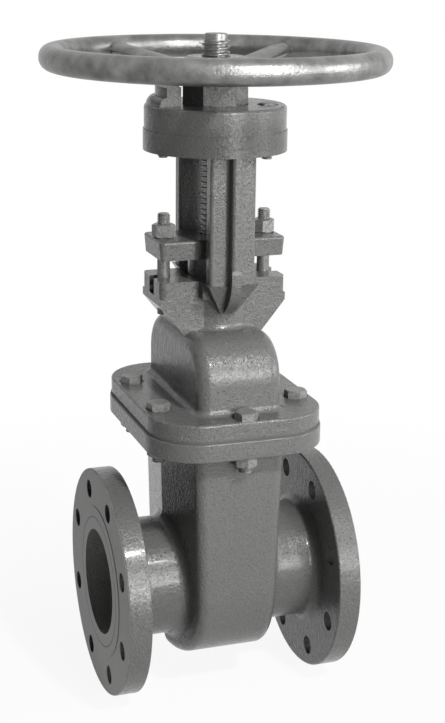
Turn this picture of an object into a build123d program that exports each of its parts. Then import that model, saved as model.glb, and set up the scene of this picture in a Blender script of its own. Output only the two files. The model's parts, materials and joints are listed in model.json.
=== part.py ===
import os
from math import tan, radians

from build123d import *

os.makedirs("parts", exist_ok=True)

# Pipe ends
face_to_face = 229
flange_dia = 220
flange_thickness = 22.5
raised_face_dia = 147
raised_face_height = 0.5
bolt_circle_dia = 180
pipe_hole_dia = 18
pipe_hole_count = 8
outlet_hole_gap = 0.4
bore_dia = 102
neck_dia = 115
neck_fillet = 9
flange_edge_round = 1.5

# Wedge chamber of the body
wall = 10
chamber_length = 86
chamber_foot_length = 73
chamber_ridge = 10
chamber_ridge_round = 6
chamber_width = 169
chamber_bottom_drop = 77.5
chamber_round = 10
flange_root_fillet = 6

# Oval flanges between body and bonnet
flange_end_margin = 44
flange_side_margin = 25
body_flange_corner = 49
body_flange_top = 167.5
body_flange_thickness = 18
gasket_thickness = 2
gasket_inset = 1
bonnet_flange_inset = 1.5
bonnet_flange_thickness = 15.5
cast_edge_round = 2

# Bonnet dome, stuffing box and side lugs
dome_side_step = 2
dome_end_margin = 5
dome_height = 67
dome_shoulder = 40
dome_round = 12
dome_root_fillet = 6
dome_wall = 9
neck_box_dia = 70
neck_box_height = 31
neck_root_fillet = 5
lug_span = 121
lug_width = 59
lug_depth = 7
lug_foot_span = 76
lug_foot_drop = 35
stuffing_dia = 49
stuffing_floor = 12
slot_width = 14
slot_depth = 18

# Yoke
yoke_base_thickness = 15.5
yoke_height = 150.5
yoke_flange_dia = 132
yoke_flange_thickness = 19
arm_width = 43
arm_inner = 39.5
arm_outer = 53.5
rib_width = 9.5
rib_outer = 65.5
arm_fillet = 3
foot_width = 47
foot_reach = 4
foot_drop = 15
prow_width = 12
prow_depth = 4
foot_gap = 1.5
base_corner = 6

# Gland with its studs
gland_length = 121
gland_width = 57
gland_thickness = 17.5
gland_lift = 19.5
gland_corner = 5
gland_draft = 5
gland_nose_length = 45
stud_span = 98
stud_dia = 12
stud_above_nut = 10
stud_engagement = 20

# Bearing cap and the sleeve that it holds
cap_dia = 130
cap_thickness = 22
cap_edge_round = 3
cap_bolt_span = 95
cap_bolt_turn = -20
cap_bolt_dia = 10
cap_bolt_past = 8.5
cap_stud_cover = 4
cap_head_sink = 5
cap_lug_outer_dia = 110
cap_lug_inner_dia = 78
cap_lug_height = 16.8
cap_lug_fillet = 8
cap_lug_angle = 70
cap_lug_middle = 165
collar_dia = 82
collar_thickness = 10
sleeve_foot_dia = 56
sleeve_hexagon = 52
sleeve_turn = -10
sleeve_rise = 22.5
spigot_dia = 42

# Handwheel
wheel_dia = 317
rim_width = 22.5
rim_height = 22.5
rim_crown_round = 10.5
rim_foot_round = 3
rim_above_hub = 7.5
spoke_count = 5
spoke_turn = 43
spoke_hub_width = 30
spoke_rim_width = 22
spoke_hub_height = 11
spoke_rim_height = 13
spoke_bite = 4
hub_dia = 74
hub_height = 10.8
wheel_nut_across = 55
wheel_nut_height = 9

# Stem, gate and seats
stem_dia = 25.5
stem_above_rim = 10.4
gate_dia = 116
gate_half_thickness = 22.5
gate_slope = 5
gate_room = 5.5
gate_boss_width = 44
gate_boss_height = 34
stem_seat_depth = 40
seat_ring_width = 9
seat_ring_seat = 5

# Bonnet bolts, M12
bonnet_bolt_dia = 12
bonnet_head_across = 19
bonnet_head_height = 7.5
bonnet_nut_height = 10
bolt_past_nut = 6
spot_dia = 24
spot_depth = 0.6
corner_bolt_inset_x = 16.5
corner_bolt_inset_y = 62.5
end_bolt_inset = 12.5
cap_head_across = 16
cap_head_height = 6.4
gland_nut_height = 12

# Clearances and the overrun of cuts
run_gap = 0.3
seat_gap = 0.4
fit_gap = 0.1
bolt_gap = 0.75
overrun = 5

# Plan sizes that follow the chamber and the stuffing box
dome_width = chamber_width - 2 * dome_side_step
dome_length = neck_box_dia + 2 * dome_end_margin
body_flange_length = dome_length + 2 * flange_end_margin
body_flange_width = dome_width + 2 * flange_side_margin
corner_bolt_span_x = body_flange_length - 2 * corner_bolt_inset_x
corner_bolt_span_y = body_flange_width - 2 * corner_bolt_inset_y
end_bolt_span_y = body_flange_width - 2 * end_bolt_inset

# Levels on the stem axis, from the pipe axis up
stem_x = face_to_face / 2
half_length = chamber_length / 2
half_width = chamber_width / 2
flange_foot = body_flange_top - body_flange_thickness
bonnet_foot = body_flange_top + gasket_thickness
bonnet_deck = bonnet_foot + bonnet_flange_thickness
head_seat = bonnet_deck - spot_depth
nut_seat = flange_foot + spot_depth
dome_top = bonnet_deck + dome_height
yoke_foot = dome_top + neck_box_height
base_top = yoke_foot + yoke_base_thickness
yoke_top = yoke_foot + yoke_height
yoke_flange_foot = yoke_top - yoke_flange_thickness
gland_foot = base_top + gland_lift
gland_top = gland_foot + gland_thickness
cap_top = yoke_top + cap_thickness
hub_foot = cap_top + sleeve_rise
hub_top = hub_foot + hub_height
rim_level = hub_top + rim_above_hub
stem_top = rim_level + rim_height / 2 + stem_above_rim
collar_foot = yoke_top - collar_thickness
cap_bolt_end = yoke_flange_foot - cap_bolt_past
cap_stud_top = cap_top + cap_lug_height - cap_stud_cover

axis_plan = Plane(origin=(stem_x, 0, 0))
across = Plane(origin=(stem_x, 0, 0), x_dir=(0, 1, 0), z_dir=(1, 0, 0))
along = Plane(origin=(stem_x, 0, 0), x_dir=(1, 0, 0), z_dir=(0, -1, 0))
inlet_face = Plane(origin=(0, 0, 0), x_dir=(0, 1, 0), z_dir=(1, 0, 0))
outlet_face = Plane(origin=(face_to_face, 0, 0), x_dir=(0, -1, 0), z_dir=(-1, 0, 0))

corner_bolts = GridLocations(corner_bolt_span_x, corner_bolt_span_y, 2, 2).locations
end_bolts = GridLocations(0, end_bolt_span_y, 1, 2).locations
bonnet_bolt_places = [place.position for place in corner_bolts + end_bolts]
stud_places = GridLocations(stud_span, 0, 2, 1).locations
cap_bolt_places = PolarLocations(cap_bolt_span / 2, 2, cap_bolt_turn).locations
cap_bolt_place, cap_stud_place = [place.position for place in cap_bolt_places]


def finish(piece, name):
    piece.part.label = name
    export_step(piece.part, f"parts/{name}.step")


def face_at(piece, level):
    flats = piece.faces().filter_by(Plane.XY)
    return flats.filter_by(lambda face: abs(face.center().Z - level) < fit_gap)[0]


def chamber_outline(half_width, drop, top):
    # Upright sides that run into a half round below the pipe axis.
    spring = half_width - drop
    with BuildSketch() as outline:
        with BuildLine():
            Polyline((-half_width, spring), (-half_width, top), (half_width, top), (half_width, spring))
            ThreePointArc((half_width, spring), (0, -drop), (-half_width, spring))
        make_face()
    return outline.sketch


def dome_outline(half_width, foot, top, shoulder):
    flat = half_width - shoulder
    spring = top - shoulder
    with BuildSketch() as outline:
        with BuildLine():
            Polyline((-half_width, spring), (-half_width, foot), (half_width, foot), (half_width, spring))
            RadiusArc((half_width, spring), (flat, top), -shoulder)
            Line((flat, top), (-flat, top))
            RadiusArc((-flat, top), (-half_width, spring), -shoulder)
        make_face()
    return outline.sketch


def chamber_plan(level, half_length):
    # A long hexagon: the side walls meet in a low ridge on the casting's parting line.
    with BuildSketch(axis_plan.offset(level)) as plan:
        with BuildLine():
            Polyline(
                (-half_length, -half_width), (half_length, -half_width), (half_length + chamber_ridge, 0),
                (half_length, half_width), (-half_length, half_width), (-half_length - chamber_ridge, 0),
                close=True,
            )
        make_face()
    return plan.sketch


# Body: chamber, two necks with round flanges, and the oval top flange
with BuildPart() as body:
    with BuildSketch(across):
        add(chamber_outline(half_width, chamber_bottom_drop, body_flange_top))
    extrude(amount=half_length + chamber_ridge, both=True)
    chamber_plans = [
        chamber_plan(-chamber_bottom_drop, chamber_foot_length / 2),
        chamber_plan(body_flange_top, half_length),
    ]
    loft(sections=chamber_plans, ruled=True, mode=Mode.INTERSECT)
    ridges = body.edges().filter_by(lambda edge: abs(edge.center().Y) < fit_gap)
    fillet(ridges, chamber_ridge_round)
    rim_start = half_length - 2 * chamber_ridge
    rims = body.edges().filter_by(lambda edge: abs(edge.center().X - stem_x) > rim_start)
    rims = rims.filter_by(lambda edge: abs(edge.center().Y) > chamber_ridge)
    rims = rims.filter_by(lambda edge: edge.center().Z < flange_foot)
    fillet(rims, chamber_round)
    for face in (inlet_face, outlet_face):
        with BuildSketch(face.offset(raised_face_height)):
            Circle(flange_dia / 2)
        extrude(amount=flange_thickness - raised_face_height)
        with BuildSketch(face):
            Circle(raised_face_dia / 2)
        extrude(amount=flange_thickness)
        with BuildSketch(face.offset(flange_thickness)):
            Circle(neck_dia / 2)
        extrude(amount=stem_x - flange_thickness)
    neck_roots = body.edges().filter_by(GeomType.CIRCLE)
    neck_roots = neck_roots.filter_by(lambda edge: abs(edge.radius - neck_dia / 2) < fit_gap)
    fillet(neck_roots, neck_fillet)
    necks = body.faces().filter_by(GeomType.CYLINDER)
    necks = necks.filter_by(lambda face: abs(face.radius - neck_dia / 2) < fit_gap)
    fillet(necks.edges().filter_by(GeomType.BSPLINE), neck_fillet)
    flange_rims = body.edges().filter_by(GeomType.CIRCLE)
    flange_rims = flange_rims.filter_by(lambda edge: abs(edge.radius - flange_dia / 2) < fit_gap)
    fillet(flange_rims, flange_edge_round)
    with BuildSketch(axis_plan.offset(flange_foot)):
        RectangleRounded(body_flange_length, body_flange_width, body_flange_corner)
    extrude(amount=body_flange_thickness)
    deck_edges = body.faces().sort_by(Axis.Z)[-1].edges()
    under_face = face_at(body, flange_foot)
    fillet(under_face.outer_wire().edges(), cast_edge_round)
    fillet(deck_edges, flange_edge_round)
    under_face = face_at(body, flange_foot)
    fillet(under_face.inner_wires()[0].edges(), flange_root_fillet)
    with BuildSketch(across):
        add(chamber_outline(half_width - wall, gate_dia / 2 + gate_room, body_flange_top + overrun))
    extrude(amount=half_length - wall, both=True, mode=Mode.SUBTRACT)
    with BuildSketch(inlet_face):
        Circle(bore_dia / 2)
    extrude(amount=face_to_face, mode=Mode.SUBTRACT)
    with BuildSketch(across):
        Circle(bore_dia / 2 + seat_ring_width + fit_gap)
    extrude(amount=half_length - wall + seat_ring_seat, both=True, mode=Mode.SUBTRACT)
    for face, hole_dia in ((inlet_face, pipe_hole_dia), (outlet_face, pipe_hole_dia + outlet_hole_gap)):
        with BuildSketch(face):
            with PolarLocations(bolt_circle_dia / 2, pipe_hole_count, 180 / pipe_hole_count):
                Circle(hole_dia / 2)
        extrude(amount=flange_thickness, mode=Mode.SUBTRACT)
    with BuildSketch(axis_plan.offset(flange_foot)):
        with Locations(*bonnet_bolt_places):
            Circle(bonnet_bolt_dia / 2 + bolt_gap)
    extrude(amount=body_flange_thickness, mode=Mode.SUBTRACT)
    with BuildSketch(axis_plan.offset(nut_seat)):
        with Locations(*bonnet_bolt_places):
            Circle(spot_dia / 2)
    extrude(amount=-flange_root_fillet - spot_depth, mode=Mode.SUBTRACT)
finish(body, "body")

# Gasket between the oval flanges
with BuildPart() as bonnet_gasket:
    with BuildSketch(axis_plan.offset(body_flange_top)):
        inset = 2 * gasket_inset
        RectangleRounded(
            body_flange_length - inset, body_flange_width - inset, body_flange_corner - gasket_inset
        )
        Rectangle(chamber_length - 2 * wall, chamber_width - 2 * wall, mode=Mode.SUBTRACT)
        with Locations(*bonnet_bolt_places):
            Circle(bonnet_bolt_dia / 2 + bolt_gap, mode=Mode.SUBTRACT)
    extrude(amount=gasket_thickness)
finish(bonnet_gasket, "bonnet_gasket")

# Bonnet: oval flange, hollow dome, stuffing-box neck and two lugs for the gland studs
dome_half_length = dome_length / 2
dome_half_width = dome_width / 2
with BuildPart() as bonnet:
    with BuildSketch(across):
        add(dome_outline(dome_half_width, bonnet_foot, dome_top, dome_shoulder))
    extrude(amount=dome_half_length, both=True)
    sides = bonnet.faces().filter_by(Axis.X)
    fillet(sides.edges().filter_by(lambda edge: edge.center().Z > bonnet_foot + fit_gap), dome_round)
    with BuildSketch(axis_plan.offset(bonnet_foot)):
        inset = 2 * bonnet_flange_inset
        RectangleRounded(
            body_flange_length - inset, body_flange_width - inset, body_flange_corner - bonnet_flange_inset
        )
    extrude(amount=bonnet_flange_thickness)
    deck = face_at(bonnet, bonnet_deck)
    fillet(deck.outer_wire().edges(), cast_edge_round)
    deck = face_at(bonnet, bonnet_deck)
    fillet(deck.inner_wires()[0].edges(), dome_root_fillet)
    with BuildSketch(axis_plan.offset(dome_top - dome_shoulder)):
        Circle(neck_box_dia / 2)
    extrude(amount=dome_shoulder + neck_box_height)
    neck_root = bonnet.faces().filter_by(GeomType.CYLINDER)
    neck_root = neck_root.filter_by(lambda face: abs(face.radius - neck_box_dia / 2) < fit_gap)
    fillet(neck_root.edges().filter_by(lambda edge: edge.center().Z < dome_top + fit_gap), neck_root_fillet)
    with BuildSketch(along):
        with BuildLine():
            lug_brow = yoke_foot - lug_depth
            lug_chin = yoke_foot - lug_foot_drop
            Polyline(
                (-lug_span / 2, yoke_foot), (lug_span / 2, yoke_foot), (lug_span / 2, lug_brow),
                (lug_foot_span / 2, lug_chin), (-lug_foot_span / 2, lug_chin), (-lug_span / 2, lug_brow),
                close=True,
            )
        make_face()
    extrude(amount=lug_width / 2, both=True)
    with BuildSketch(across):
        inner_foot = bonnet_foot - overrun
        inner_top = dome_top - dome_wall
        add(dome_outline(dome_half_width - dome_wall, inner_foot, inner_top, dome_shoulder - dome_wall))
    extrude(amount=dome_half_length - dome_wall, both=True, mode=Mode.SUBTRACT)
    with BuildSketch(axis_plan.offset(dome_top - 2 * dome_wall)):
        Circle(stem_dia / 2 + run_gap)
    extrude(amount=yoke_foot - dome_top + 2 * dome_wall, mode=Mode.SUBTRACT)
    with BuildSketch(axis_plan.offset(dome_top + stuffing_floor - dome_wall)):
        Circle(stuffing_dia / 2)
    extrude(amount=yoke_foot - dome_top, mode=Mode.SUBTRACT)
    with BuildSketch(axis_plan.offset(yoke_foot - stud_engagement)):
        with Locations(*stud_places):
            Circle(stud_dia / 2 + fit_gap)
    extrude(amount=stud_engagement, mode=Mode.SUBTRACT)
    with BuildSketch(axis_plan.offset(bonnet_foot)):
        with Locations(*bonnet_bolt_places):
            Circle(bonnet_bolt_dia / 2 + bolt_gap)
    extrude(amount=bonnet_flange_thickness, mode=Mode.SUBTRACT)
    with BuildSketch(axis_plan.offset(head_seat)):
        with Locations(*bonnet_bolt_places):
            Circle(spot_dia / 2)
    extrude(amount=dome_root_fillet + spot_depth, mode=Mode.SUBTRACT)
finish(bonnet, "bonnet")

# Yoke: slotted base, two T-section arms with prow-shaped feet, and the round flange
collar_hole = collar_dia / 2 + run_gap
with BuildPart() as yoke:
    with BuildSketch(axis_plan.offset(yoke_foot)):
        RectangleRounded(lug_span, lug_width, base_corner)
        Rectangle(foot_width, 2 * arm_inner)
    extrude(amount=yoke_base_thickness)
    with BuildSketch(axis_plan.offset(base_top)) as arms:
        for side in (-1, 1):
            with Locations((0, side * (arm_inner + arm_outer) / 2)):
                Rectangle(arm_width, arm_outer - arm_inner)
            with Locations((0, side * (arm_inner + rib_outer) / 2)):
                Rectangle(rib_width, rib_outer - arm_inner)
        fillet(arms.vertices(), arm_fillet)
    extrude(amount=yoke_flange_foot - base_top)
    with BuildSketch(axis_plan.offset(yoke_flange_foot)):
        Circle(yoke_flange_dia / 2)
    extrude(amount=yoke_flange_thickness)
    for side in (-1, 1):
        foot_inner = neck_box_dia / 2 + foot_gap
        foot_outer = arm_outer + foot_reach
        with BuildSketch(axis_plan.offset(base_top)):
            with Locations((0, side * (foot_inner + foot_outer) / 2)):
                Rectangle(foot_width, foot_outer - foot_inner)
        with BuildSketch(axis_plan.offset(yoke_foot - foot_drop)):
            with Locations((0, side * (foot_inner + prow_depth / 2))):
                Rectangle(prow_width, prow_depth)
        loft()
        with BuildSketch(across):
            with BuildLine():
                Polyline(
                    (side * rib_outer, base_top + foot_drop), (side * foot_inner, base_top + foot_drop),
                    (side * foot_inner, yoke_foot - foot_drop),
                )
                ThreePointArc(
                    (side * foot_inner, yoke_foot - foot_drop), (side * foot_outer, yoke_foot),
                    (side * rib_outer, base_top + foot_drop),
                )
            make_face()
        extrude(amount=rib_width / 2, both=True)
    with BuildSketch(axis_plan.offset(yoke_foot)):
        Circle(stuffing_dia / 2 + foot_gap)
        with Locations((-lug_span / 2, 0), (lug_span / 2, 0)):
            SlotOverall(2 * slot_depth, slot_width)
    extrude(amount=yoke_base_thickness, mode=Mode.SUBTRACT)
    with BuildSketch(axis_plan.offset(yoke_flange_foot)):
        Circle(sleeve_foot_dia / 2 + run_gap)
        with Locations(cap_bolt_place, cap_stud_place):
            Circle(cap_bolt_dia / 2 + fit_gap)
    extrude(amount=yoke_flange_thickness, mode=Mode.SUBTRACT)
    with BuildSketch(axis_plan.offset(collar_foot - run_gap)):
        Circle(collar_hole)
    extrude(amount=collar_thickness + run_gap, mode=Mode.SUBTRACT)
finish(yoke, "yoke")

# Gland: plate with a round nose that reaches into the stuffing box
with BuildPart() as gland:
    with BuildSketch(axis_plan.offset(gland_top)):
        RectangleRounded(gland_length, gland_width, gland_corner)
    extrude(amount=-gland_thickness, taper=gland_draft)
    fillet(gland.faces().sort_by(Axis.Z)[-1].edges(), cast_edge_round)
    with BuildSketch(axis_plan.offset(gland_foot)):
        Circle(stuffing_dia / 2 - run_gap)
    extrude(amount=-gland_nose_length)
    with BuildSketch(axis_plan.offset(gland_foot - gland_nose_length)):
        Circle(stem_dia / 2 + run_gap)
    extrude(amount=gland_nose_length + gland_thickness, mode=Mode.SUBTRACT)
    with BuildSketch(axis_plan.offset(gland_foot)):
        with Locations(*stud_places):
            Circle(stud_dia / 2 + bolt_gap)
    extrude(amount=gland_thickness, mode=Mode.SUBTRACT)
finish(gland, "gland")

# Bearing cap with its raised lug at the back left, which takes a stud from below
with BuildPart() as bearing_cap:
    with BuildSketch(axis_plan.offset(yoke_top)):
        Circle(cap_dia / 2)
    extrude(amount=cap_thickness)
    fillet(bearing_cap.faces().sort_by(Axis.Z)[-1].edges(), cap_edge_round)
    lug_ray = Vector(1, 0, 0).rotate(Axis.Z, cap_lug_middle - cap_lug_angle / 2)
    lug_start = Plane(origin=axis_plan.origin, x_dir=lug_ray, z_dir=lug_ray.rotate(Axis.Z, -90))
    with BuildSketch(lug_start):
        with BuildLine():
            lug_inner = cap_lug_inner_dia / 2
            lug_outer = cap_lug_outer_dia / 2
            lug_toe = lug_outer + cap_lug_fillet
            lug_root = cap_top - cap_edge_round
            lug_top = cap_top + cap_lug_height
            Polyline(
                (lug_toe, cap_top), (lug_toe, lug_root), (lug_inner, lug_root), (lug_inner, lug_top),
                (lug_outer, lug_top), (lug_outer, cap_top + cap_lug_fillet),
            )
            RadiusArc((lug_outer, cap_top + cap_lug_fillet), (lug_toe, cap_top), cap_lug_fillet)
        make_face()
    revolve(axis=Axis((stem_x, 0, 0), (0, 0, 1)), revolution_arc=cap_lug_angle)
    with BuildSketch(axis_plan.offset(yoke_top)):
        Circle(sleeve_hexagon / 3 ** 0.5 + run_gap)
        with Locations(cap_bolt_place):
            Circle(cap_bolt_dia / 2 + bolt_gap)
    extrude(amount=cap_thickness, mode=Mode.SUBTRACT)
    with BuildSketch(axis_plan.offset(yoke_top)):
        with Locations(cap_stud_place):
            Circle(cap_bolt_dia / 2 + fit_gap)
    extrude(amount=cap_stud_top - yoke_top, mode=Mode.SUBTRACT)
    with BuildSketch(axis_plan.offset(cap_top - cap_head_sink)):
        with Locations(cap_bolt_place):
            Circle(cap_head_across / 3 ** 0.5 + bolt_gap)
    extrude(amount=cap_head_sink, mode=Mode.SUBTRACT)
finish(bearing_cap, "bearing_cap")

# Yoke sleeve: collar held under the cap, hexagon and wheel spigot, bored for the stem
with BuildPart() as yoke_sleeve:
    with BuildSketch(axis_plan.offset(yoke_flange_foot)):
        Circle(sleeve_foot_dia / 2)
    extrude(amount=collar_foot - yoke_flange_foot)
    with BuildSketch(axis_plan.offset(collar_foot)):
        Circle(collar_dia / 2)
    extrude(amount=collar_thickness - run_gap)
    with BuildSketch(axis_plan.offset(yoke_top - run_gap)):
        RegularPolygon(sleeve_hexagon / 2, 6, major_radius=False, rotation=sleeve_turn)
    extrude(amount=hub_foot - yoke_top + run_gap)
    with BuildSketch(axis_plan.offset(hub_foot)):
        Circle(spigot_dia / 2)
    extrude(amount=hub_height + wheel_nut_height)
    with BuildSketch(axis_plan.offset(yoke_flange_foot)):
        Circle(stem_dia / 2 + run_gap)
    extrude(amount=hub_top + wheel_nut_height - yoke_flange_foot, mode=Mode.SUBTRACT)
finish(yoke_sleeve, "yoke_sleeve")

# Handwheel: rounded rim, five dished spokes and a flat hub
rim_radius = (wheel_dia - rim_width) / 2
spoke_middle = (hub_foot + hub_top) / 2
with BuildPart() as handwheel:
    with BuildSketch(along):
        with Locations((rim_radius, rim_level)):
            rim_section = Rectangle(rim_width, rim_height)
        fillet(rim_section.vertices().group_by(Axis.Z)[-1], rim_crown_round)
        fillet(rim_section.vertices().group_by(Axis.Z)[0], rim_foot_round)
    revolve(axis=Axis((stem_x, 0, 0), (0, 0, 1)))
    with BuildSketch(axis_plan.offset(hub_foot)):
        Circle(hub_dia / 2)
    extrude(amount=hub_height)
    inner_reach = hub_dia / 2 - spoke_bite
    outer_reach = rim_radius - rim_width / 2 + spoke_bite
    for index in range(spoke_count):
        ray = axis_plan.rotated((0, 0, spoke_turn + index * 360 / spoke_count))
        spoke_root = Plane(
            origin=ray.from_local_coords((inner_reach, 0, spoke_middle)), x_dir=ray.y_dir, z_dir=ray.x_dir
        )
        spoke_tip = Plane(
            origin=ray.from_local_coords((outer_reach, 0, rim_level)), x_dir=ray.y_dir, z_dir=ray.x_dir
        )
        with BuildSketch(spoke_root):
            Ellipse(spoke_hub_width / 2, spoke_hub_height / 2)
        with BuildSketch(spoke_tip):
            Ellipse(spoke_rim_width / 2, spoke_rim_height / 2)
        loft()
    with BuildSketch(axis_plan.offset(hub_foot)):
        Circle(spigot_dia / 2 + fit_gap)
    extrude(amount=hub_height, mode=Mode.SUBTRACT)
finish(handwheel, "handwheel")

# Nut that holds the wheel on the sleeve's spigot
with BuildPart() as wheel_nut:
    with BuildSketch(axis_plan.offset(hub_top)):
        RegularPolygon(wheel_nut_across / 2, 6, major_radius=False)
        Circle(spigot_dia / 2 + fit_gap, mode=Mode.SUBTRACT)
    extrude(amount=wheel_nut_height)
finish(wheel_nut, "wheel_nut")

# Gate: round wedge with a boss that takes the stem's foot
gate_radius = gate_dia / 2
gate_slant = tan(radians(gate_slope))
gate_boss_top = gate_radius + gate_boss_height
stem_foot = gate_boss_top - stem_seat_depth
with BuildPart() as gate:
    with BuildSketch(across):
        Circle(gate_radius)
        with Locations((0, gate_boss_top / 2)):
            Rectangle(gate_boss_width, gate_boss_top)
    extrude(amount=gate_radius, both=True)
    with BuildSketch(along):
        with BuildLine():
            Polyline(
                (gate_radius * gate_slant - gate_half_thickness, -gate_radius),
                (gate_half_thickness - gate_radius * gate_slant, -gate_radius),
                (gate_half_thickness + gate_radius * gate_slant, gate_radius),
                (gate_boss_width / 2, gate_boss_top), (-gate_boss_width / 2, gate_boss_top),
                (-gate_half_thickness - gate_radius * gate_slant, gate_radius), close=True,
            )
        make_face()
    extrude(amount=gate_radius, both=True, mode=Mode.INTERSECT)
    with BuildSketch(axis_plan.offset(stem_foot)):
        Circle(stem_dia / 2 + fit_gap)
    extrude(amount=stem_seat_depth, mode=Mode.SUBTRACT)
finish(gate, "gate")

# Stem, plain over the length of its thread
with BuildPart() as stem:
    with BuildSketch(axis_plan.offset(stem_foot)):
        Circle(stem_dia / 2)
    extrude(amount=stem_top - stem_foot)
    chamfer(stem.faces().sort_by(Axis.Z)[-1].edges(), cast_edge_round)
finish(stem, "stem")

# Seat rings, cut to the wedge's slope
seat_outer = bore_dia / 2 + seat_ring_width
seat_slant = seat_outer * gate_slant
seat_wall = half_length - wall + seat_ring_seat
for name, side in (("inlet_seat_ring", -1), ("outlet_seat_ring", 1)):
    with BuildPart() as seat_ring:
        with BuildSketch(across):
            Circle(seat_outer)
            Circle(bore_dia / 2, mode=Mode.SUBTRACT)
        extrude(amount=side * seat_wall)
        with BuildSketch(along):
            with BuildLine():
                Polyline(
                    (side * seat_wall, -seat_outer), (side * seat_wall, seat_outer),
                    (side * (gate_half_thickness + seat_slant + seat_gap), seat_outer),
                    (side * (gate_half_thickness - seat_slant + seat_gap), -seat_outer), close=True,
                )
            make_face()
        extrude(amount=seat_outer, both=True, mode=Mode.INTERSECT)
    finish(seat_ring, name)


def hex_bolt(name, place, seat_level, across_flats, head_height, shank_dia, shank_length):
    at = Plane(origin=axis_plan.from_local_coords((place.X, place.Y, seat_level)))
    with BuildPart() as bolt:
        with BuildSketch(at):
            RegularPolygon(across_flats / 2, 6, major_radius=False)
        extrude(amount=head_height)
        with BuildSketch(at):
            Circle(shank_dia / 2)
        extrude(amount=-shank_length)
    finish(bolt, name)


def hex_nut(name, place, foot_level, across_flats, height, hole_dia):
    at = Plane(origin=axis_plan.from_local_coords((place.X, place.Y, foot_level)))
    with BuildPart() as nut:
        with BuildSketch(at):
            RegularPolygon(across_flats / 2, 6, major_radius=False)
            Circle(hole_dia / 2 + fit_gap, mode=Mode.SUBTRACT)
        extrude(amount=height)
    finish(nut, name)


# Bonnet bolts with their nuts below the body's flange
bonnet_grip = head_seat - nut_seat
bonnet_shank = bonnet_grip + bonnet_nut_height + bolt_past_nut
for number, place in enumerate(bonnet_bolt_places, 1):
    hex_bolt(
        f"bonnet_bolt_{number}", place, head_seat, bonnet_head_across, bonnet_head_height,
        bonnet_bolt_dia, bonnet_shank,
    )
    hex_nut(
        f"bonnet_nut_{number}", place, nut_seat - bonnet_nut_height, bonnet_head_across,
        bonnet_nut_height, bonnet_bolt_dia,
    )

# Cap bolt and cap stud, both screwed through the yoke's flange
cap_seat = cap_top - cap_head_sink
hex_bolt(
    "cap_bolt", cap_bolt_place, cap_seat, cap_head_across, cap_head_height,
    cap_bolt_dia, cap_seat - cap_bolt_end,
)
with BuildPart() as cap_stud:
    with BuildSketch(axis_plan.offset(cap_bolt_end)):
        with Locations(cap_stud_place):
            Circle(cap_bolt_dia / 2)
    extrude(amount=cap_stud_top - cap_bolt_end)
finish(cap_stud, "cap_stud")

# Gland studs in the bonnet's lugs, with their nuts
stud_foot = yoke_foot - stud_engagement
stud_top = gland_top + gland_nut_height + stud_above_nut
for side, stud_place in zip(("left", "right"), stud_places):
    with BuildPart() as gland_stud:
        with BuildSketch(axis_plan.offset(stud_foot)):
            with Locations(stud_place):
                Circle(stud_dia / 2)
        extrude(amount=stud_top - stud_foot)
    finish(gland_stud, f"gland_stud_{side}")
    hex_nut(
        f"gland_nut_{side}", stud_place.position, gland_top, bonnet_head_across, gland_nut_height, stud_dia
    )
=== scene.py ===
import json
import math

import bpy
from mathutils import Matrix, Vector


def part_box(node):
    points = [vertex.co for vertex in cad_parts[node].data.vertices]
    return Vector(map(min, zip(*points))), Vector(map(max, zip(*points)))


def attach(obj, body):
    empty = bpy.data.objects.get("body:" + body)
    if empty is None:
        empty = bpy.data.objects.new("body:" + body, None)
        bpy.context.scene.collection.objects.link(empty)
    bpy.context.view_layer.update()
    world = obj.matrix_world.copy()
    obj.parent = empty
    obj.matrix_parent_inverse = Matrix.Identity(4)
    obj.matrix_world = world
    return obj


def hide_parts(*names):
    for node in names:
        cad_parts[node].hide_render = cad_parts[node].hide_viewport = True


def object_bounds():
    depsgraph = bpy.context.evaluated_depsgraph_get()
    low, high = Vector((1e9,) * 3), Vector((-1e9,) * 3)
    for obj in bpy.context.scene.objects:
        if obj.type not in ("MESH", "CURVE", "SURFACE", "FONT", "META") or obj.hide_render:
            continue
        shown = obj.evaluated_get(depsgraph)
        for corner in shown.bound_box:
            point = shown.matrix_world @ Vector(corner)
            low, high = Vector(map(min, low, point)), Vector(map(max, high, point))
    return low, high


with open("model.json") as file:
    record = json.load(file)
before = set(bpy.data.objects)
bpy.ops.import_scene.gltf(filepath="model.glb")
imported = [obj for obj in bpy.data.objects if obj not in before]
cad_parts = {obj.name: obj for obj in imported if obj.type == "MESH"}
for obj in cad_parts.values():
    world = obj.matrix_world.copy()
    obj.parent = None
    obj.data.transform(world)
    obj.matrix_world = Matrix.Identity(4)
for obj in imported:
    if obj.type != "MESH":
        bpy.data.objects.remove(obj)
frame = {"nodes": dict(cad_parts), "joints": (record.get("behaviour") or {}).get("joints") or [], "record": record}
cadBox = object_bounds()
nodes = frame["nodes"]
joints = {joint["name"]: joint for joint in frame["joints"]}
stemX = joints["wheel_turn"]["pos_m"][0]
print("frame loaded:", len(nodes), "nodes")


# camera at the photograph's standpoint
cameraSet = {
    "place": (-0.3274, -1.2898, 0.6050),
    "yaw": -19.310, "pitch": 16.496, "roll": 0.72,  # degrees
    "focalPixels": 1489.1, "axisDropPixels": 11.0,
    "imageHeight": 723.0, "sensor": 36.0, "clipEnd": 50,
}


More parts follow.
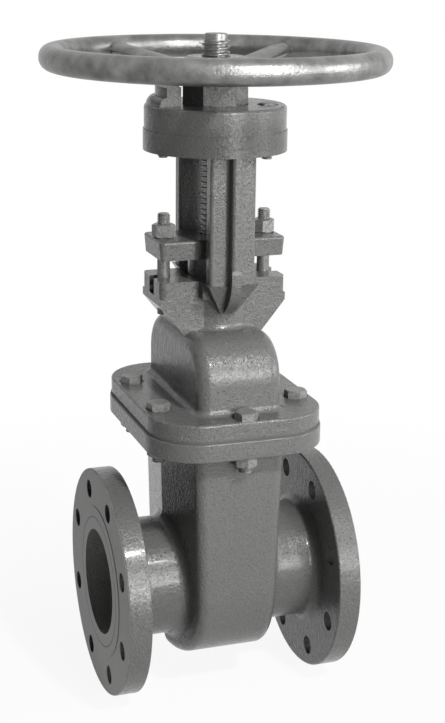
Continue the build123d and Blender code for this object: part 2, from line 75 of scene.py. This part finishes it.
def addCamera(spec):
    yaw = math.radians(spec["yaw"])
    pitch = math.radians(spec["pitch"])
    roll = math.radians(spec["roll"])
    back = Vector((math.sin(yaw) * math.cos(pitch), -math.cos(yaw) * math.cos(pitch), math.sin(pitch)))
    level = Vector((math.cos(yaw), math.sin(yaw), 0))
    upright = back.cross(level)
    right = level * math.cos(roll) + upright * math.sin(roll)
    up = upright * math.cos(roll) - level * math.sin(roll)
    camera = bpy.data.objects.new("photoCamera", bpy.data.cameras.new("photoCamera"))
    bpy.context.scene.collection.objects.link(camera)
    turn = Matrix((right, up, back)).transposed().to_4x4()
    camera.matrix_world = Matrix.Translation(spec["place"]) @ turn
    camera.data.sensor_width = spec["sensor"]
    camera.data.lens = spec["focalPixels"] / spec["imageHeight"] * spec["sensor"]
    camera.data.shift_y = spec["axisDropPixels"] / spec["imageHeight"]
    camera.data.clip_end = spec["clipEnd"]
    bpy.context.scene.camera = camera


addCamera(cameraSet)
print("camera placed")


# shader maths: a value wraps a socket, a finish holds one material
class Value:
    def __init__(self, finish, socket):
        self.finish = finish
        self.socket = socket

    def math(self, operation, other, swap=False):
        pair = (other, self) if swap else (self, other)
        return self.finish.value("ShaderNodeMath", {"operation": operation}, {0: pair[0], 1: pair[1]})

    def __add__(self, other):
        return self.math("ADD", other)

    def __radd__(self, other):
        return self.math("ADD", other, True)

    def __sub__(self, other):
        return self.math("SUBTRACT", other)

    def __rsub__(self, other):
        return self.math("SUBTRACT", other, True)

    def __mul__(self, other):
        return self.math("MULTIPLY", other)

    def __pow__(self, other):
        return self.math("POWER", other)

    def __lt__(self, other):
        return self.math("LESS_THAN", other)

    def __gt__(self, other):
        return self.math("GREATER_THAN", other)

    def __abs__(self):
        return self.finish.value("ShaderNodeMath", {"operation": "ABSOLUTE"}, {0: self})


class Finish:
    def __init__(self, name):
        self.material = bpy.data.materials.new(name)
        self.material.use_nodes = True
        self.tree = self.material.node_tree
        self.shader = self.tree.nodes["Principled BSDF"]
        self.coords = self.node("ShaderNodeTexCoord").outputs["Object"]

    def node(self, kind, settings=None, inputs=None):
        made = self.tree.nodes.new(kind)
        for key, setting in (settings or {}).items():
            if key == "stops":
                self.setStops(made.color_ramp, setting)
            else:
                setattr(made, key, setting)
        for key, given in (inputs or {}).items():
            self.feed(made.inputs[key], given)
        return made

    def setStops(self, ramp, stops):
        while len(ramp.elements) < len(stops):
            ramp.elements.new(1.0)
        for element, (place, grey) in zip(ramp.elements, stops):
            element.position = place
            element.color = (grey, grey, grey, 1.0)

    def feed(self, socket, given):
        if isinstance(given, Value):
            self.tree.links.new(given.socket, socket)
        elif isinstance(given, bpy.types.NodeSocket):
            self.tree.links.new(given, socket)
        else:
            socket.default_value = given

    def value(self, kind, settings=None, inputs=None, output=0):
        return Value(self, self.node(kind, settings, inputs).outputs[output])

    def axes(self):
        split = self.node("ShaderNodeSeparateXYZ", None, {0: self.coords})
        return [Value(self, socket) for socket in split.outputs]

    def noise(self, scale, detail=3.0, rough=0.5, at=None):
        spots = {"Vector": at or self.coords, "Scale": scale, "Detail": detail, "Roughness": rough}
        return self.value("ShaderNodeTexNoise", None, spots)

    def pits(self, scale):
        return self.value("ShaderNodeTexVoronoi", None, {"Vector": self.coords, "Scale": scale})

    def ramp(self, given, stops):
        return self.value("ShaderNodeValToRGB", {"stops": stops}, {0: given})

    def mix(self, factor, first, second):
        colours = {"Factor": factor, 6: first, 7: second}
        return self.value("ShaderNodeMix", {"data_type": "RGBA"}, colours, 2)

    def bump(self, height, strength, distance):
        heights = {"Height": height, "Strength": strength, "Distance": distance}
        return self.value("ShaderNodeBump", None, heights)

    def set(self, **inputs):
        for key, given in inputs.items():
            self.feed(self.shader.inputs[key.replace("_", " ")], given)
        return self.material


# gloss paint over a rough casting, with machined pipe faces; the pipe faces and the bore are painted paler as fill
# light
castPaint = {
    "dark": (0.042, 0.042, 0.041, 1), "pale": (0.110, 0.110, 0.107, 1),
    # the paler colour is painted fill light on the pipe end faces and the bore
    "bare": (0.24, 0.24, 0.235, 1), "bore": 0.0515,
    "grainScale": 760, "peelScale": 260, "lumpScale": 60, "dotScale": 420, "relief": 0.0013,
    "grainShare": 0.25, "peelShare": 0.4, "lumpShare": 0.3, "speckShare": 0.45,
    "dotStops": ((0.10, 1.0), (0.34, 0.0)), "speckStops": ((0.43, 0.0), (0.52, 1.0)),
    "glossStops": ((0.38, 0.06), (0.60, 0.36)),
    "facing": 0.0012,  # depth of the machined pipe faces, from each end
    # the groove is a thin ring sunk by the bump and coloured dark as painted shade
    "faceSmoothing": 0.93, "groove": 0.0630, "grooveWidth": 0.0008, "grooveDepth": 0.4,
    "roughness": 0.17, "peelRoughness": 0.12, "bareRoughness": 0.2,
    "specular": 0.2, "coatRoughness": 0.14, "coatIndex": 1.4,
}


def makeCastPaint(spec):
    finish = Finish("castPaint")
    grain = finish.noise(spec["grainScale"], detail=2.0, rough=0.6)
    peel = finish.noise(spec["peelScale"], detail=2.0, rough=0.5)
    lump = finish.noise(spec["lumpScale"], detail=3.0, rough=0.5)
    x, y, z = finish.axes()
    faced = abs(x - stemX) > stemX - spec["facing"]
    ring = (y * y + z * z) ** 0.5
    # the pipe end faces and the bore get the paler colour, which is painted fill light
    bare = 1 - (1 - faced) * (ring > spec["bore"])
    # thin ring on the machined faces, sunk by the bump and coloured dark as painted shade
    groove = (abs(ring - spec["groove"]) < spec["grooveWidth"]) * faced
    speck = finish.ramp(finish.pits(spec["dotScale"]), spec["dotStops"]) * finish.ramp(peel, spec["speckStops"])
    fine = speck * spec["speckShare"] + grain * spec["grainShare"]
    cast = fine + peel * spec["peelShare"] + lump * spec["lumpShare"]
    height = cast * (1 - faced * spec["faceSmoothing"]) - groove * spec["grooveDepth"]
    paint = finish.mix(grain, spec["dark"], spec["pale"])
    # the paler colour on the end faces and bore is painted fill light
    colour = finish.mix(groove, finish.mix(bare, paint, spec["bare"]), spec["dark"])
    gloss = finish.ramp(peel, spec["glossStops"]) * (1 - faced)
    return finish.set(
        Base_Color=colour, Specular_IOR_Level=spec["specular"],
        Roughness=spec["roughness"] + peel * spec["peelRoughness"] + bare * spec["bareRoughness"],
        Coat_Weight=gloss, Coat_Roughness=spec["coatRoughness"], Coat_IOR=spec["coatIndex"],
        Normal=finish.bump(height, 1.0, spec["relief"]),
    )


wheelMetal = {
    "dark": (0.105, 0.105, 0.102, 1), "pale": (0.23, 0.23, 0.224, 1), "shadeStops": ((0.3, 0.0), (0.72, 1.0)),
    "grainScale": 420, "lumpScale": 60, "grainShare": 0.5, "lumpShare": 0.8, "bump": 0.7, "relief": 0.0009,
    "metallic": 0.75, "roughness": 0.26, "grainRoughness": 0.2,
}


def makeWheelMetal(spec):
    finish = Finish("wheelMetal")
    grain = finish.noise(spec["grainScale"], detail=2.0, rough=0.6)
    lump = finish.noise(spec["lumpScale"], detail=3.0, rough=0.55)
    colour = finish.mix(finish.ramp(lump, spec["shadeStops"]), spec["dark"], spec["pale"])
    height = grain * spec["grainShare"] + lump * spec["lumpShare"]
    return finish.set(
        Base_Color=colour, Metallic=spec["metallic"], Roughness=spec["roughness"] + grain * spec["grainRoughness"],
        Normal=finish.bump(height, spec["bump"], spec["relief"]),
    )


stemSteel = {
    "dark": (0.09, 0.09, 0.088, 1), "pale": (0.24, 0.24, 0.233, 1), "shadeStops": ((0.3, 0.0), (0.75, 1.0)),
    "streakScale": 160, "stretch": (1, 1, 7), "bump": 0.35, "relief": 0.0004,
    "metallic": 0.7, "roughness": 0.26, "streakRoughness": 0.2,
}


def makeStemSteel(spec):
    finish = Finish("stemSteel")
    mapping = finish.node("ShaderNodeMapping", None, {"Vector": finish.coords, "Scale": spec["stretch"]})
    streak = finish.noise(spec["streakScale"], detail=3.0, rough=0.6, at=mapping.outputs[0])
    colour = finish.mix(finish.ramp(streak, spec["shadeStops"]), spec["dark"], spec["pale"])
    return finish.set(
        Base_Color=colour, Metallic=spec["metallic"], Roughness=spec["roughness"] + streak * spec["streakRoughness"],
        Normal=finish.bump(streak, spec["bump"], spec["relief"]),
    )


boltPaint = {
    "dark": (0.09, 0.09, 0.088, 1), "pale": (0.18, 0.18, 0.175, 1), "shadeStops": ((0.35, 0.0), (0.7, 1.0)),
    "grainScale": 500, "bump": 0.5, "relief": 0.0006,
    "metallic": 0.2, "specular": 0.35, "roughness": 0.26, "grainRoughness": 0.15,
}


def makeBoltPaint(spec):
    finish = Finish("boltPaint")
    grain = finish.noise(spec["grainScale"], detail=2.0, rough=0.5)
    colour = finish.mix(finish.ramp(grain, spec["shadeStops"]), spec["dark"], spec["pale"])
    return finish.set(
        Base_Color=colour, Metallic=spec["metallic"], Specular_IOR_Level=spec["specular"],
        Roughness=spec["roughness"] + grain * spec["grainRoughness"],
        Normal=finish.bump(grain, spec["bump"], spec["relief"]),
    )


gasketFibre = {
    "dark": (0.025, 0.025, 0.025, 1), "pale": (0.06, 0.06, 0.058, 1),
    "grainScale": 600, "bump": 0.5, "relief": 0.0004, "roughness": 0.7, "grainRoughness": 0.2,
}


def makeGasketFibre(spec):
    finish = Finish("gasketFibre")
    grain = finish.noise(spec["grainScale"], detail=3.0, rough=0.6)
    colour = finish.mix(grain, spec["dark"], spec["pale"])
    return finish.set(
        Base_Color=colour, Roughness=spec["roughness"] + grain * spec["grainRoughness"],
        Normal=finish.bump(grain, spec["bump"], spec["relief"]),
    )


seatBronze = {
    "dark": (0.26, 0.2, 0.12, 1), "pale": (0.42, 0.34, 0.21, 1), "grainScale": 300, "bump": 0.2, "relief": 0.0003,
    "metallic": 0.9, "roughness": 0.3, "grainRoughness": 0.2,
}


def makeSeatBronze(spec):
    finish = Finish("seatBronze")
    grain = finish.noise(spec["grainScale"], detail=3.0, rough=0.6)
    colour = finish.mix(grain, spec["dark"], spec["pale"])
    return finish.set(
        Base_Color=colour, Metallic=spec["metallic"], Roughness=spec["roughness"] + grain * spec["grainRoughness"],
        Normal=finish.bump(grain, spec["bump"], spec["relief"]),
    )


finishes = {
    "casting": makeCastPaint(castPaint), "wheel_metal": makeWheelMetal(wheelMetal),
    "stem_steel": makeStemSteel(stemSteel), "fastener": makeBoltPaint(boltPaint),
    "gasket": makeGasketFibre(gasketFibre), "seat_bronze": makeSeatBronze(seatBronze),
}
for part in frame["record"]["subparts"]:
    mesh = nodes[part["node"]].data
    mesh.materials.clear()
    mesh.materials.append(finishes[part["material_slot"]])
print("finishes set")


# modelling moves that several pieces share
def useOnly(piece):
    bpy.ops.object.select_all(action="DESELECT")
    piece.select_set(True)
    bpy.context.view_layer.objects.active = piece


def applyModifier(piece, kind, **settings):
    useOnly(piece)
    modifier = piece.modifiers.new("work", kind)
    for key, setting in settings.items():
        setattr(modifier, key, setting)
    bpy.ops.object.modifier_apply(modifier=modifier.name)


def trim(piece, tool, operation):
    applyModifier(piece, "BOOLEAN", object=tool, operation=operation, solver="EXACT")
    bpy.data.objects.remove(tool)


def joinAll(pieces, name):
    useOnly(pieces[0])
    for piece in pieces:
        piece.select_set(True)
    bpy.ops.object.join()
    pieces[0].name = name
    return pieces[0]


def addRod(radius, foot, top, sides=48):
    bpy.ops.object.select_all(action="DESELECT")
    middle = (0, 0, (foot + top) / 2)
    bpy.ops.mesh.primitive_cylinder_add(vertices=sides, radius=radius, depth=top - foot, location=middle)
    bpy.ops.object.transform_apply(location=True, rotation=True, scale=True)
    return bpy.context.object


def roundTop(piece, top, amount):
    # bevels the rim of the rod's upper end
    useOnly(piece)
    bpy.ops.object.mode_set(mode="EDIT")
    bpy.ops.mesh.select_all(action="DESELECT")
    bpy.ops.object.mode_set(mode="OBJECT")
    for edge in piece.data.edges:
        ends = [piece.data.vertices[index].co.z for index in edge.vertices]
        edge.select = min(ends) > top - amount / 10
    bpy.ops.object.mode_set(mode="EDIT")
    bpy.ops.mesh.bevel(offset=amount, segments=2)
    bpy.ops.object.mode_set(mode="OBJECT")


hexagonSet = {"ringShare": 0.47, "reachShare": 1.2, "coneSides": 60}


def addHexagon(spec, across, foot, top, chamferTop, chamferFoot):
    # six-sided prism with its corners turned off at 30 degrees
    prism = addRod(across / math.sqrt(3), foot, top, 6)
    ring = across * spec["ringShare"]
    reach = (top - foot) * spec["reachShare"]
    for wanted, upright in ((chamferTop, 1), (chamferFoot, -1)):
        if not wanted:
            continue
        small = ring
        large = ring + reach * math.sqrt(3)
        low = top - reach if upright == 1 else foot
        bpy.ops.object.select_all(action="DESELECT")
        bpy.ops.mesh.primitive_cone_add(
            vertices=spec["coneSides"], depth=reach, location=(0, 0, low + reach / 2),
            radius1=large if upright == 1 else small, radius2=small if upright == 1 else large,
        )
        trim(prism, bpy.context.object, "INTERSECT")
    return prism


def addThread(spec, crest, foot, top):
    # one pitch of the profile is drawn point by point and swept up the axis
    pitch = spec["pitch"]
    depth = spec["depth"]
    bpy.ops.object.select_all(action="DESELECT")
    bpy.ops.mesh.primitive_plane_add(size=pitch)
    thread = bpy.context.object
    bpy.ops.object.mode_set(mode="EDIT")
    bpy.ops.mesh.select_all(action="SELECT")
    bpy.ops.mesh.merge(type="CENTER")
    bpy.ops.transform.translate(value=(crest - depth, 0, foot - 1.5 * pitch))
    for out, rise in spec["profile"]:
        bpy.ops.mesh.extrude_vertices_move(TRANSFORM_OT_translate={"value": (out * depth, 0, rise * pitch)})
    bpy.ops.object.mode_set(mode="OBJECT")
    turns = math.ceil((top - foot) / pitch) + 2
    applyModifier(
        thread, "SCREW", axis="Z", screw_offset=pitch, iterations=turns,
        steps=spec["steps"], render_steps=spec["steps"], use_smooth_shade=False,
    )
    bpy.ops.object.mode_set(mode="EDIT")
    bpy.ops.mesh.select_all(action="SELECT")
    bpy.ops.mesh.remove_doubles(threshold=0.000002)
    bpy.ops.mesh.bisect(plane_co=(0, 0, foot), plane_no=(0, 0, 1), use_fill=True, clear_inner=True)
    bpy.ops.mesh.select_all(action="SELECT")
    bpy.ops.mesh.bisect(plane_co=(0, 0, top), plane_no=(0, 0, 1), use_fill=True, clear_outer=True)
    bpy.ops.mesh.select_all(action="SELECT")
    bpy.ops.mesh.normals_make_consistent(inside=False)
    bpy.ops.object.mode_set(mode="OBJECT")
    return thread


def smooth(piece, degrees):
    useOnly(piece)
    bpy.ops.object.shade_smooth_by_angle(angle=math.radians(degrees))


def nodeBox(name):
    low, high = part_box(name)
    return Vector(low), Vector(high)


def settle(piece, slot, body, *replaced):
    piece.data.materials.clear()
    piece.data.materials.append(finishes[slot])
    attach(piece, body)
    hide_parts(*replaced)


# stem with its coarse thread and a plain pilot on top
stemSet = {
    "pitch": 0.005, "depth": 0.0022, "steps": 40,
    "profile": ((0, 0.2), (1, 0.16), (0, 0.28), (-1, 0.16), (0, 0.2)),
    "threadFoot": 0.306, "pilotRadius": 0.0103, "pilotHeight": 0.0058, "pilotRound": 0.0012,
    "sides": 64, "smoothAngle": 32,  # degrees
}


def makeStem(spec):
    low, high = nodeBox("stem")
    crest = (high.x - low.x) / 2
    shoulder = high.z - spec["pilotHeight"]
    plain = addRod(crest, low.z, spec["threadFoot"], spec["sides"])
    thread = addThread(spec, crest, spec["threadFoot"], shoulder)
    pilot = addRod(spec["pilotRadius"], shoulder - spec["pilotHeight"], high.z)
    roundTop(pilot, high.z, spec["pilotRound"])
    stem = joinAll([plain, thread, pilot], "threadedStem")
    stem.location = (stemX, 0, 0)
    useOnly(stem)
    bpy.ops.object.transform_apply(location=True, rotation=True, scale=True)
    smooth(stem, spec["smoothAngle"])
    settle(stem, "stem_steel", "stem_body", "stem")


makeStem(stemSet)
print("stem threaded")


# hexagon bolts, studs and nuts, each kind modelled once and copied
fineThread = {
    "pitch": 0.00175, "depth": 0.0009, "steps": 24,
    "profile": ((0, 0.12), (1, 0.32), (0, 0.12), (-1, 0.32), (0, 0.12)),
}
fastenerSet = {
    "bonnet": {"across": 0.019, "head": 0.0075, "radius": 0.006, "threadLength": 0.020},
    "cap": {"across": 0.016, "head": 0.0064, "radius": 0.005, "threadLength": 0.018, "turn": 18},
    "stud": {"radius": 0.006, "threadLength": 0.030},
    "wheelNut": {"across": 0.055, "hole": 0.0211},
    "bonnetTurns": (12, 33, 0, 47, 20, 38), "nutTurns": (25, 8, 40, 15, 52, 21),  # degrees
    "glandTurns": (8, 35), "wheelNutTurn": 14, "tipLength": 0.001,
    "shankShare": 0.98, "coreShare": 0.8, "smoothAngle": 30,
}


def makeBolt(name, spec, node):
    low, high = nodeBox(node)
    seat = high.z - spec["head"]
    head = addHexagon(hexagonSet, spec["across"], seat, high.z, True, False)
    shank = addRod(spec["radius"] * fastenerSet["shankShare"], low.z + spec["threadLength"], seat)
    thread = addThread(fineThread, spec["radius"], low.z, low.z + spec["threadLength"])
    return joinAll([head, shank, thread], name)


def makeStud(name, spec, node, tipUp):
    # a plain rod with a threaded end and a short turned tip
    low, high = nodeBox(node)
    length = spec["threadLength"]
    tip = fastenerSet["tipLength"]
    shank = spec["radius"] * fastenerSet["shankShare"]
    core = spec["radius"] * fastenerSet["coreShare"]
    if tipUp:
        pieces = [
            addThread(fineThread, spec["radius"], high.z - length, high.z - tip),
            addRod(shank, low.z, high.z - length), addRod(core, high.z - length, high.z),
        ]
    else:
        pieces = [
            addThread(fineThread, spec["radius"], low.z + tip, low.z + length),
            addRod(shank, low.z + length, high.z), addRod(core, low.z, low.z + length),
        ]
    return joinAll(pieces, name)


def makeNut(name, across, hole, node):
    low, high = nodeBox(node)
    nut = addHexagon(hexagonSet, across, low.z, high.z, True, True)
    trim(nut, addRod(hole, low.z - hole, high.z + hole), "DIFFERENCE")
    nut.name = name
    return nut


def copyTo(master, name, node, degrees):
    low, high = nodeBox(node)
    useOnly(master)
    bpy.ops.object.duplicate(linked=False)
    copy = bpy.context.object
    copy.name = name
    copy.rotation_euler = (0, 0, math.radians(degrees))
    copy.location = ((low.x + high.x) / 2, (low.y + high.y) / 2, 0)
    bpy.ops.object.transform_apply(location=True, rotation=True, scale=True)
    smooth(copy, fastenerSet["smoothAngle"])
    return copy


def addFasteners(spec):
    bolt = makeBolt("bonnetBolt", spec["bonnet"], "bonnet_bolt_1")
    nut = makeNut("bonnetNut", spec["bonnet"]["across"], spec["bonnet"]["radius"], "bonnet_nut_1")
    for number, (boltTurn, nutTurn) in enumerate(zip(spec["bonnetTurns"], spec["nutTurns"]), 1):
        node = "bonnet_bolt_%d" % number
        settle(copyTo(bolt, "bonnetBolt%d" % number, node, boltTurn), "fastener", "valve", node)
        node = "bonnet_nut_%d" % number
        settle(copyTo(nut, "bonnetNut%d" % number, node, nutTurn), "fastener", "valve", node)
    capBolt = makeBolt("capBoltMaster", spec["cap"], "cap_bolt")
    settle(copyTo(capBolt, "capBolt", "cap_bolt", spec["cap"]["turn"]), "fastener", "valve", "cap_bolt")
    capStud = makeStud("capStudMaster", spec["cap"], "cap_stud", False)
    settle(copyTo(capStud, "capStud", "cap_stud", 0), "fastener", "valve", "cap_stud")
    stud = makeStud("glandStud", spec["stud"], "gland_stud_left", True)
    glandNut = makeNut("glandNut", spec["bonnet"]["across"], spec["stud"]["radius"], "gland_nut_left")
    for side, turn in zip(("left", "right"), spec["glandTurns"]):
        for master, node in ((stud, "gland_stud_" + side), (glandNut, "gland_nut_" + side)):
            settle(copyTo(master, master.name + side.title(), node, turn), "fastener", "valve", node)
    wheelNut = makeNut("wheelNutMaster", spec["wheelNut"]["across"], spec["wheelNut"]["hole"], "wheel_nut")
    seated = copyTo(wheelNut, "wheelNut", "wheel_nut", spec["wheelNutTurn"])
    settle(seated, "fastener", "handwheel_body", "wheel_nut")
    for master in (bolt, nut, capBolt, capStud, stud, glandNut, wheelNut):
        bpy.data.objects.remove(master)


addFasteners(fastenerSet)
print("fasteners seated")


# white floor and backdrop, soft studio light from the front right
stageSet = {
    "floorDrop": 0.001, "floorSize": 8.0, "paper": (0.70, 0.70, 0.695, 1), "paperRoughness": 0.9,
    "floorWhite": 0.90, "floorFade": 0.9, "worldLight": 0.08,
    # each lamp aims at a level on the stem's axis, with a beam so many degrees wide
    "lamps": {
        "highLamp": {"place": (0.50, -1.58, 1.70), "size": 0.18, "power": 2.2, "aimLevel": 0.17, "spread": 38},
        "frontLamp": {"place": (0.60, -2.15, 0.62), "size": 1.3, "power": 6.3, "aimLevel": 0.24, "spread": 45},
        "sideLamp": {"place": (2.25, -1.05, 0.70), "size": 1.6, "power": 4.8, "aimLevel": 0.30, "spread": 38},
    },
}


def seesBackdrop(tree):
    # camera, mirror and glass rays see plain white
    rays = tree.nodes.new("ShaderNodeLightPath")
    mirror = tree.nodes.new("ShaderNodeMath")
    mirror.operation = "MAXIMUM"
    tree.links.new(rays.outputs["Is Glossy Ray"], mirror.inputs[0])
    tree.links.new(rays.outputs["Is Transmission Ray"], mirror.inputs[1])
    shown = tree.nodes.new("ShaderNodeMath")
    shown.operation = "MAXIMUM"
    tree.links.new(mirror.outputs[0], shown.inputs[0])
    tree.links.new(rays.outputs["Is Camera Ray"], shown.inputs[1])
    return shown.outputs[0]


def floorShare(tree, shown, white, fade):
    # the floor keeps some of its own shade near the object and fades to white further out
    coords = tree.nodes.new("ShaderNodeTexCoord")
    reach = tree.nodes.new("ShaderNodeVectorMath")
    reach.operation = "LENGTH"
    tree.links.new(coords.outputs["Object"], reach.inputs[0])
    faded = tree.nodes.new("ShaderNodeMapRange")
    faded.inputs["From Max"].default_value = fade
    faded.inputs["To Min"].default_value = white
    tree.links.new(reach.outputs["Value"], faded.inputs["Value"])
    share = tree.nodes.new("ShaderNodeMath")
    share.operation = "MULTIPLY"
    tree.links.new(shown, share.inputs[0])
    tree.links.new(faded.outputs[0], share.inputs[1])
    return share.outputs[0]


def addLamp(name, place, size, power, aimLevel, spread):
    lamp = bpy.data.objects.new(name, bpy.data.lights.new(name, "AREA"))
    lamp.data.shape = "DISK"
    lamp.data.size = size
    lamp.data.energy = power
    lamp.data.spread = math.radians(spread)
    lamp.location = place
    aim = Vector((stemX, 0, aimLevel)) - Vector(place)
    lamp.rotation_euler = aim.to_track_quat("-Z", "Y").to_euler()
    bpy.context.scene.collection.objects.link(lamp)


def mixWhite(tree, plain, white, factor, end):
    both = tree.nodes.new("ShaderNodeMixShader")
    white.inputs["Color"].default_value = (1, 1, 1, 1)
    tree.links.new(factor, both.inputs[0])
    tree.links.new(plain.outputs[0], both.inputs[1])
    tree.links.new(white.outputs[0], both.inputs[2])
    tree.links.new(both.outputs[0], end.inputs[0])


def addStage(spec):
    bpy.ops.object.select_all(action="DESELECT")
    level = cadBox[0][2] - spec["floorDrop"]
    bpy.ops.mesh.primitive_plane_add(size=spec["floorSize"], location=(stemX, 0, level))
    floor = bpy.context.object
    floor.name = "studioFloor"
    paper = bpy.data.materials.new("studioPaper")
    paper.use_nodes = True
    tree = paper.node_tree
    plain = tree.nodes["Principled BSDF"]
    plain.inputs["Base Color"].default_value = spec["paper"]
    plain.inputs["Roughness"].default_value = spec["paperRoughness"]
    share = floorShare(tree, seesBackdrop(tree), spec["floorWhite"], spec["floorFade"])
    mixWhite(tree, plain, tree.nodes.new("ShaderNodeEmission"), share, tree.nodes["Material Output"])
    floor.data.materials.append(paper)
    for name, lamp in spec["lamps"].items():
        addLamp(name, **lamp)
    world = bpy.data.worlds.new("studioWorld")
    bpy.context.scene.world = world
    world.use_nodes = True
    tree = world.node_tree
    glow = tree.nodes["Background"]
    glow.inputs["Color"].default_value = (1, 1, 1, 1)
    glow.inputs["Strength"].default_value = spec["worldLight"]
    white = tree.nodes.new("ShaderNodeBackground")
    mixWhite(tree, glow, white, seesBackdrop(tree), tree.nodes["World Output"])
    bpy.context.scene.view_settings.view_transform = "Standard"


addStage(stageSet)
print("stage lit")
